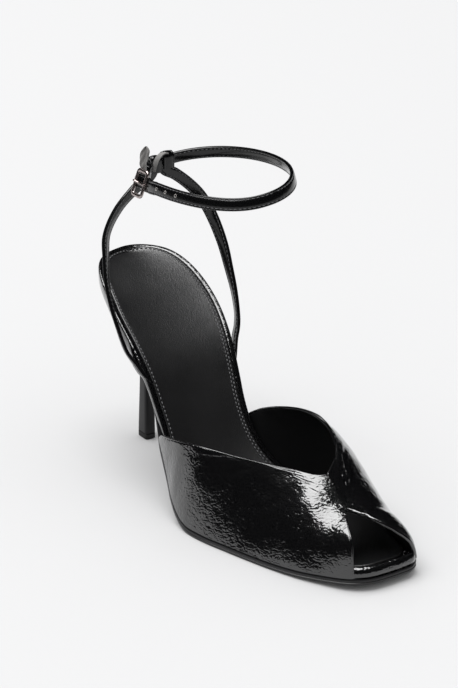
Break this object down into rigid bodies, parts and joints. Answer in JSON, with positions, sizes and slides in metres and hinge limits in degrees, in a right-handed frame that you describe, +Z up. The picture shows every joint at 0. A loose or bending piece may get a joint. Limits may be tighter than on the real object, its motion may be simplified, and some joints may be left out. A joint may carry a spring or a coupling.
{
  "type": "high-heeled peep-toe sandal",
  "caption": "Right high-heeled sandal: crossed patent vamp open at toe and back, straps looped behind a buckled ankle strap, slim facetted heel.",
  "frame": {"origin": "on the floor, under the middle of the forefoot tread", "axes": "+X from heel to toe, +Y towards the inner side of the foot, +Z up"},
  "size_m": [0.219, 0.0821, 0.1626],
  "materials": {
    "patent": "crinkled black patent leather, high gloss",
    "strap_patent": "smooth black patent leather, edges stitched",
    "lining": "satin black smooth lining leather, fine grain",
    "sole": "black resin sole, half gloss",
    "heel_cover": "black, semi-gloss",
    "rubber": "black, matt",
    "gunmetal": "gunmetal plated, polished"
  },
  "bodies": {
    "root": {"outsole": "sole", "footbed": "patent", "sock": "lining", "vamp": "patent", "toe_binding": "patent", "heel": "heel_cover", "top_piece": "rubber", "straps": "strap_patent", "buckle_frame": "gunmetal", "buckle_prong": "gunmetal", "keeper": "strap_patent"}
  },
  "joints": []
}
